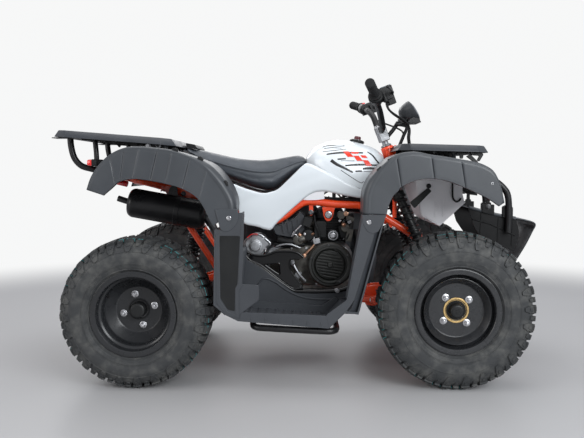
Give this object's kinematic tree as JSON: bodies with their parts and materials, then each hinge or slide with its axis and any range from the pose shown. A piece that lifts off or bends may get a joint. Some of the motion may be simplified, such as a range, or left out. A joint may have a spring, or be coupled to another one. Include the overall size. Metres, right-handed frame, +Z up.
{
  "type": "quad bike",
  "caption": "Utility quad bike with steered front wheels, a solid rear axle, footwells, a saddle and flat racks front and rear.",
  "frame": {"origin": "on the ground, under the middle of the machine's outer box", "axes": "+X to the front, +Y to the rider's left, +Z up"},
  "size_m": [1.742, 0.99, 1.0325],
  "materials": {
    "frame_paint": "gloss",
    "charcoal_plastic": "satin",
    "white_plastic": "gloss",
    "black_paint": "satin",
    "black_plastic": "gloss",
    "rubber": "matte",
    "tyre": "matte",
    "alloy": "satin",
    "steel": "satin",
    "seat_cover": "satin",
    "lamp_red": "gloss"
  },
  "bodies": {
    "chassis": {"top_rails": "frame_paint", "lower_rails": "frame_paint", "rear_stays": "frame_paint", "cross_tubes": "frame_paint", "steering_head": "frame_paint", "shock_towers": "frame_paint", "control_arms": "frame_paint", "front_shocks": "frame_paint", "swingarm": "frame_paint", "rear_shock": "frame_paint", "engine_block": "alloy", "engine_cylinder": "black_paint", "engine_mounts": "frame_paint", "carburettor": "alloy", "fan_cover": "black_plastic", "gear_case": "alloy", "engine_guard": "black_plastic", "air_box": "black_plastic", "exhaust_pipe": "steel", "muffler": "black_paint", "seat": "seat_cover", "tank_cover": "white_plastic", "side_panels": "white_plastic", "fuel_cap": "black_plastic", "rear_mudguards": "charcoal_plastic", "front_mudguards": "charcoal_plastic", "front_fascia": "white_plastic", "footwell_right": "charcoal_plastic", "footwell_left": "charcoal_plastic", "rear_rack": "charcoal_plastic", "front_rack": "charcoal_plastic", "rack_tubes": "black_paint", "tail_lights": "lamp_red", "front_bumper": "black_plastic", "bumper_tubes": "black_paint", "step_bars": "black_paint", "tow_hitch": "black_paint"},
    "steering": {"steering_stem": "steel", "handlebar": "black_paint", "grips": "rubber", "bar_controls": "black_plastic", "brake_levers": "alloy", "headlight": "charcoal_plastic"},
    "tie_rod_r": {"tie_rod_right": "steel"},
    "tie_rod_l": {"tie_rod_left": "steel"},
    "knuckle_r": {"knuckle_right": "steel"},
    "knuckle_l": {"knuckle_left": "steel"},
    "front_wheel_r": {"front_tyre_right": "tyre", "front_rim_right": "black_paint"},
    "front_wheel_l": {"front_tyre_left": "tyre", "front_rim_left": "black_paint"},
    "rear_axle_wheels": {"rear_tyre_right": "tyre", "rear_tyre_left": "tyre", "rear_rims": "black_paint", "rear_axle": "steel"}
  },
  "joints": [
    {"name": "steer", "type": "hinge", "parent": "chassis", "child": "steering", "pos_m": [0.337, 0, 0.791], "axis": [-0.342, 0, 0.9397], "range_deg": [-30, 30]},
    {"name": "kingpin_r", "type": "hinge", "parent": "chassis", "child": "knuckle_r", "pos_m": [0.511, -0.346, 0.262], "axis": [0, 0, 1], "range_deg": [-27, 27]},
    {"name": "kingpin_l", "type": "hinge", "parent": "chassis", "child": "knuckle_l", "pos_m": [0.511, 0.346, 0.262], "axis": [0, 0, 1], "range_deg": [-27, 27]},
    {"name": "tie_rod_pin_r", "type": "hinge", "parent": "steering", "child": "tie_rod_r", "pos_m": [0.42257, -0.018, 0.34539], "axis": [-0.342, 0, 0.9397], "range_deg": [-31.65, 31.65]},
    {"name": "tie_rod_pin_l", "type": "hinge", "parent": "steering", "child": "tie_rod_l", "pos_m": [0.42257, 0.018, 0.34539], "axis": [-0.342, 0, 0.9397], "range_deg": [-31.65, 31.65]},
    {"name": "front_wheel_spin_r", "type": "hinge", "parent": "knuckle_r", "child": "front_wheel_r", "pos_m": [0.511, -0.406, 0.262], "axis": [0, 1, 0], "continuous": true},
    {"name": "front_wheel_spin_l", "type": "hinge", "parent": "knuckle_l", "child": "front_wheel_l", "pos_m": [0.511, 0.406, 0.262], "axis": [0, 1, 0], "continuous": true},
    {"name": "rear_axle_spin", "type": "hinge", "parent": "chassis", "child": "rear_axle_wheels", "pos_m": [-0.559, 0, 0.252], "axis": [0, 1, 0], "continuous": true}
  ],
  "couplings": [
    {"joint": "kingpin_r", "follows": "steer", "ratio": 0.9},
    {"joint": "kingpin_l", "follows": "steer", "ratio": 0.9},
    {"joint": "tie_rod_pin_r", "follows": "steer", "ratio": -1.0549},
    {"joint": "tie_rod_pin_l", "follows": "steer", "ratio": -1.0549}
  ]
}
